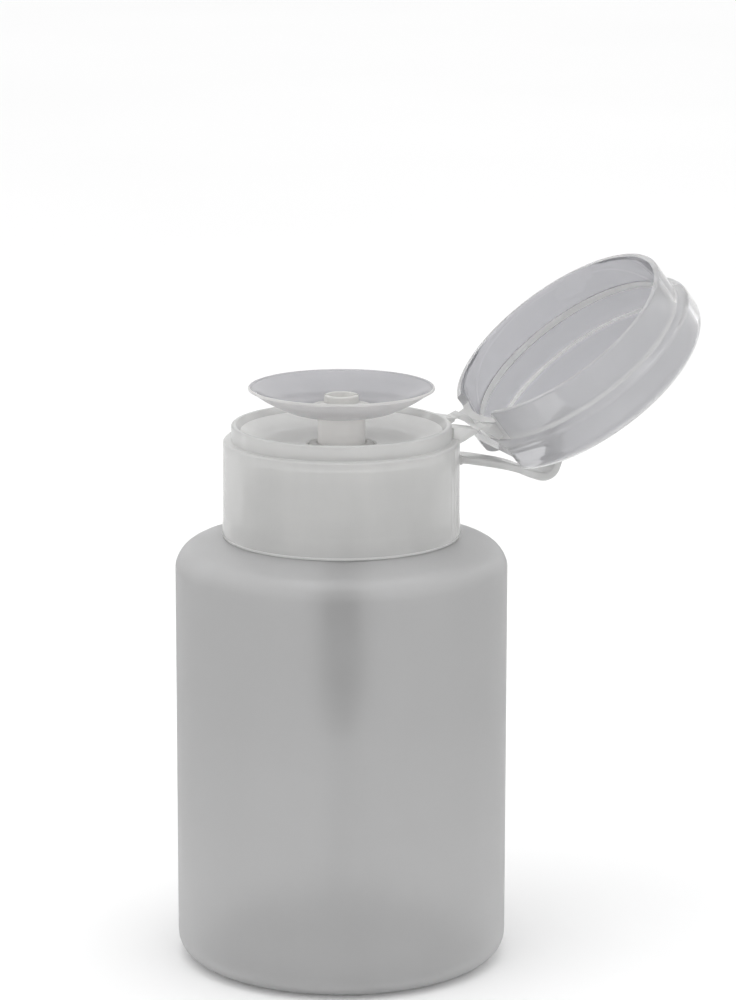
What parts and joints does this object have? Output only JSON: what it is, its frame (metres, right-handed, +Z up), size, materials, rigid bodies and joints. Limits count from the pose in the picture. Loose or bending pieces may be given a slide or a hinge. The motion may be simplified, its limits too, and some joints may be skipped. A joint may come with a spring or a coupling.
{
  "type": "pump bottle",
  "caption": "Round translucent bottle with a screw cap, a flip lid open on a living hinge, and a round dish that dispenses liquid when pressed.",
  "frame": {"origin": "centre of the bottle's base, on the surface it stands on", "axes": "+Z up along the bottle's axis; +X from the axis towards the lid's hinge; +Y completes a right-handed frame"},
  "size_m": [0.0977, 0.06, 0.1258],
  "materials": {
    "frosted_bottle": "blow-moulded natural polyethylene, translucent, satin",
    "natural_cap": "injection-moulded natural polypropylene, slightly cloudy, semi-gloss",
    "natural_lid": "injection-moulded natural polypropylene, slightly cloudy, semi-gloss",
    "natural_dish": "injection-moulded natural polypropylene, semi-gloss",
    "nozzle_pp": "injection-moulded natural polypropylene, semi-gloss",
    "pump_pp": "injection-moulded natural polypropylene, satin",
    "seal_pe": "soft moulded polyethylene, satin",
    "gasket_foam": "soft foamed sealing washer, matt",
    "tube_pe": "extruded polyethylene tube, translucent",
    "spring_steel": "drawn stainless wire",
    "ball_steel": "polished stainless ball"
  },
  "bodies": {
    "bottle": {"bottle": "frosted_bottle"},
    "pump_unit": {"pump_housing": "pump_pp", "stem_guide": "pump_pp", "neck_gasket": "gasket_foam", "return_spring": "spring_steel", "dip_tube": "tube_pe"},
    "closure": {"screw_cap": "natural_cap", "film_hinges": "natural_cap", "snap_strap": "natural_cap"},
    "lid": {"flip_lid": "natural_lid"},
    "actuator": {"dish": "natural_dish", "outlet_nozzle": "nozzle_pp", "pump_stem": "pump_pp", "piston_seal": "seal_pe"},
    "inlet_valve": {"inlet_ball": "ball_steel"},
    "outlet_valve": {"outlet_ball": "ball_steel"}
  },
  "joints": [
    {"name": "cap_lift", "type": "slide", "parent": "bottle", "child": "pump_unit", "axis": [0, 0, 1], "range_m": [0, 0.0048]},
    {"name": "cap_turn", "type": "hinge", "parent": "pump_unit", "child": "closure", "pos_m": [0, 0, 0.09], "axis": [0, 0, 1], "range_deg": [0, 540]},
    {"name": "lid_hinge", "type": "hinge", "parent": "closure", "child": "lid", "pos_m": [0.02368, 0, 0.0974], "axis": [0, -1, 0], "range_deg": [0, 142.7], "deforming": ["snap_strap"]},
    {"name": "press", "type": "slide", "parent": "pump_unit", "child": "actuator", "axis": [0, 0, -1], "range_m": [0, 0.005], "stiffness_N_per_m": 700, "springref_m": -0.003, "deforming": ["return_spring"]},
    {"name": "inlet_lift", "type": "slide", "parent": "pump_unit", "child": "inlet_valve", "axis": [0, 0, 1], "range_m": [0, 0.0012]},
    {"name": "outlet_lift", "type": "slide", "parent": "actuator", "child": "outlet_valve", "axis": [0, 0, 1], "range_m": [0, 0.0008]}
  ],
  "couplings": [
    {"joint": "cap_lift", "follows": "cap_turn", "m_per_rad": 0.00050611}
  ]
}
